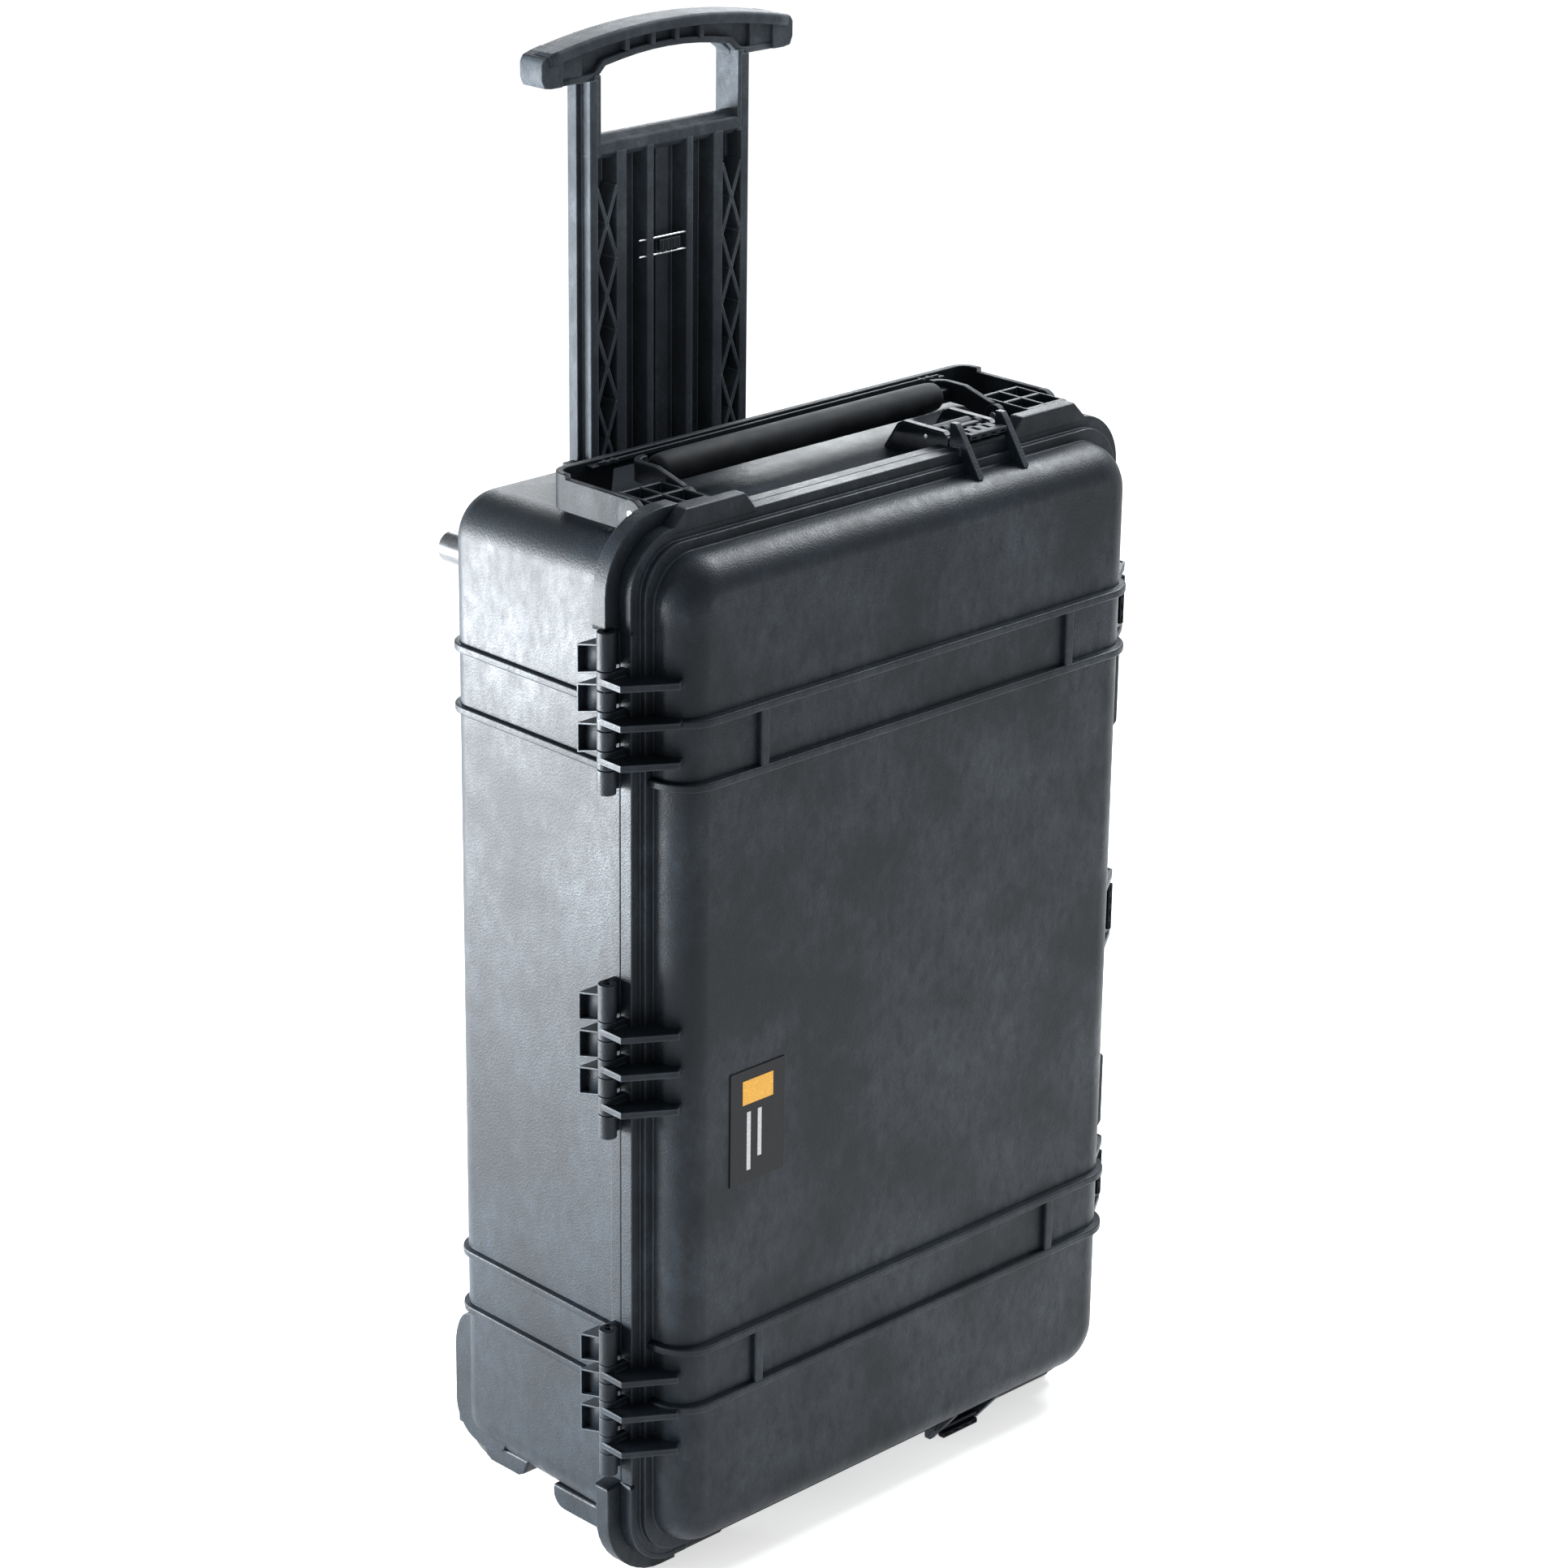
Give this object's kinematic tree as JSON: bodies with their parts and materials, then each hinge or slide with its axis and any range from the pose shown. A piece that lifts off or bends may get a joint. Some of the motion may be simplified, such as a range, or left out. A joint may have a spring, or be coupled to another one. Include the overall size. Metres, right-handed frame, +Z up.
{
  "type": "wheeled hard equipment case",
  "caption": "Upright wheeled hard equipment case with a ribbed hinged lid, deep base, side latches, folding carry handles and a pull-out trolley handle.",
  "frame": {"origin": "on the floor, under the middle of the case's outline", "axes": "+Z up along the case's length, +Y to the back where the trolley handle is, +X to the latch side"},
  "size_m": [0.5155, 0.28, 1.059],
  "materials": {
    "shell_polypropylene": "fine moulded grain, satin",
    "trim_plastic": "moulded, satin",
    "trolley_nylon": "fine moulded grain",
    "soft_rubber": "matt soft rubber",
    "seal_rubber": "smooth",
    "wheel_polyurethane": "satin polyurethane",
    "bearing_steel": "ground",
    "stainless_steel": "drawn wire and turned pin",
    "label_film": "printed film, no lettering"
  },
  "bodies": {
    "base": {"base_shell": "shell_polypropylene", "pressure_valve": "trim_plastic", "pressure_valve_nut": "trim_plastic", "hinge_pin_upper": "stainless_steel", "hinge_pin_middle": "stainless_steel", "hinge_pin_lower": "stainless_steel", "latch_top_pivot_pin": "stainless_steel", "latch_bottom_pivot_pin": "stainless_steel", "latch_side_upper_pivot_pin": "stainless_steel", "latch_side_middle_pivot_pin": "stainless_steel", "latch_side_lower_pivot_pin": "stainless_steel", "top_handle_pin_a": "stainless_steel", "top_handle_pin_b": "stainless_steel", "side_handle_pin_a": "stainless_steel", "side_handle_pin_b": "stainless_steel", "trolley_rail_left": "trolley_nylon", "rear_foot_left": "soft_rubber", "wheel_axle_left": "stainless_steel", "trolley_rail_right": "trolley_nylon", "rear_foot_right": "soft_rubber", "wheel_axle_right": "stainless_steel"},
    "lid": {"lid_shell": "shell_polypropylene", "lid_gasket": "seal_rubber", "label_plate": "label_film"},
    "latch_top": {"latch_top_hook": "trim_plastic", "latch_top_lever_pin": "stainless_steel"},
    "latch_top_paddle": {"latch_top_lever": "trim_plastic"},
    "latch_bottom": {"latch_bottom_hook": "trim_plastic", "latch_bottom_lever_pin": "stainless_steel"},
    "latch_bottom_paddle": {"latch_bottom_lever": "trim_plastic"},
    "latch_side_upper": {"latch_side_upper_hook": "trim_plastic", "latch_side_upper_lever_pin": "stainless_steel"},
    "latch_side_upper_paddle": {"latch_side_upper_lever": "trim_plastic"},
    "latch_side_middle": {"latch_side_middle_hook": "trim_plastic", "latch_side_middle_lever_pin": "stainless_steel"},
    "latch_side_middle_paddle": {"latch_side_middle_lever": "trim_plastic"},
    "latch_side_lower": {"latch_side_lower_hook": "trim_plastic", "latch_side_lower_lever_pin": "stainless_steel"},
    "latch_side_lower_paddle": {"latch_side_lower_lever": "trim_plastic"},
    "top_outer_frame": {"top_handle_outer_frame": "trim_plastic"},
    "top_carry_handle": {"top_handle_inner_frame": "trim_plastic", "top_handle_grip": "soft_rubber"},
    "side_outer_frame": {"side_handle_outer_frame": "trim_plastic"},
    "side_carry_handle": {"side_handle_inner_frame": "trim_plastic", "side_handle_grip": "soft_rubber"},
    "trolley": {"trolley_handle": "trolley_nylon", "trolley_clip_wire": "stainless_steel", "trolley_clip_block": "trim_plastic"},
    "wheel_left": {"wheel_tyre_left": "wheel_polyurethane", "wheel_hub_left": "trim_plastic", "wheel_bearing_left": "bearing_steel"},
    "wheel_right": {"wheel_tyre_right": "wheel_polyurethane", "wheel_hub_right": "trim_plastic", "wheel_bearing_right": "bearing_steel"}
  },
  "joints": [
    {"name": "lid_hinge", "type": "hinge", "parent": "base", "child": "lid", "pos_m": [-0.25, -0.09, 0.401], "axis": [0, 0, -1], "range_deg": [0, 110]},
    {"name": "latch_top_swing", "type": "hinge", "parent": "base", "child": "latch_top", "pos_m": [0.097, -0.068, 0.782], "axis": [-1, 0, 0], "range_deg": [0, 50]},
    {"name": "latch_top_pull", "type": "hinge", "parent": "latch_top", "child": "latch_top_paddle", "pos_m": [0.097, -0.078, 0.7864], "axis": [-1, 0, 0], "range_deg": [0, 25]},
    {"name": "latch_bottom_swing", "type": "hinge", "parent": "base", "child": "latch_bottom", "pos_m": [0.097, -0.068, 0.01], "axis": [1, 0, 0], "range_deg": [0, 50]},
    {"name": "latch_bottom_pull", "type": "hinge", "parent": "latch_bottom", "child": "latch_bottom_paddle", "pos_m": [0.097, -0.078, 0.0056], "axis": [1, 0, 0], "range_deg": [0, 25]},
    {"name": "latch_side_upper_swing", "type": "hinge", "parent": "base", "child": "latch_side_upper", "pos_m": [0.241, -0.068, 0.632], "axis": [0, 0, 1], "range_deg": [0, 50]},
    {"name": "latch_side_upper_pull", "type": "hinge", "parent": "latch_side_upper", "child": "latch_side_upper_paddle", "pos_m": [0.2454, -0.078, 0.632], "axis": [0, 0, 1], "range_deg": [0, 25]},
    {"name": "latch_side_middle_swing", "type": "hinge", "parent": "base", "child": "latch_side_middle", "pos_m": [0.241, -0.068, 0.39], "axis": [0, 0, 1], "range_deg": [0, 50]},
    {"name": "latch_side_middle_pull", "type": "hinge", "parent": "latch_side_middle", "child": "latch_side_middle_paddle", "pos_m": [0.2454, -0.078, 0.39], "axis": [0, 0, 1], "range_deg": [0, 25]},
    {"name": "latch_side_lower_swing", "type": "hinge", "parent": "base", "child": "latch_side_lower", "pos_m": [0.241, -0.068, 0.17], "axis": [0, 0, 1], "range_deg": [0, 50]},
    {"name": "latch_side_lower_pull", "type": "hinge", "parent": "latch_side_lower", "child": "latch_side_lower_paddle", "pos_m": [0.2454, -0.078, 0.17], "axis": [0, 0, 1], "range_deg": [0, 25]},
    {"name": "top_outer_frame_fold", "type": "hinge", "parent": "base", "child": "top_outer_frame", "pos_m": [0, -0.062, 0.781], "axis": [1, 0, 0], "range_deg": [0, 80]},
    {"name": "top_carry_handle_fold", "type": "hinge", "parent": "base", "child": "top_carry_handle", "pos_m": [0, -0.062, 0.781], "axis": [1, 0, 0], "range_deg": [0, 80]},
    {"name": "side_outer_frame_fold", "type": "hinge", "parent": "base", "child": "side_outer_frame", "pos_m": [0.24, -0.062, 0.401], "axis": [0, 0, -1], "range_deg": [0, 80]},
    {"name": "side_carry_handle_fold", "type": "hinge", "parent": "base", "child": "side_carry_handle", "pos_m": [0.24, -0.062, 0.401], "axis": [0, 0, -1], "range_deg": [0, 80]},
    {"name": "trolley_slide", "type": "slide", "parent": "base", "child": "trolley", "axis": [0, 0, 1], "range_m": [-0.255, 0]},
    {"name": "wheel_left_spin", "type": "hinge", "parent": "base", "child": "wheel_left", "pos_m": [-0.172, 0.108, 0.03], "axis": [1, 0, 0], "continuous": true},
    {"name": "wheel_right_spin", "type": "hinge", "parent": "base", "child": "wheel_right", "pos_m": [0.172, 0.108, 0.03], "axis": [1, 0, 0], "continuous": true}
  ]
}
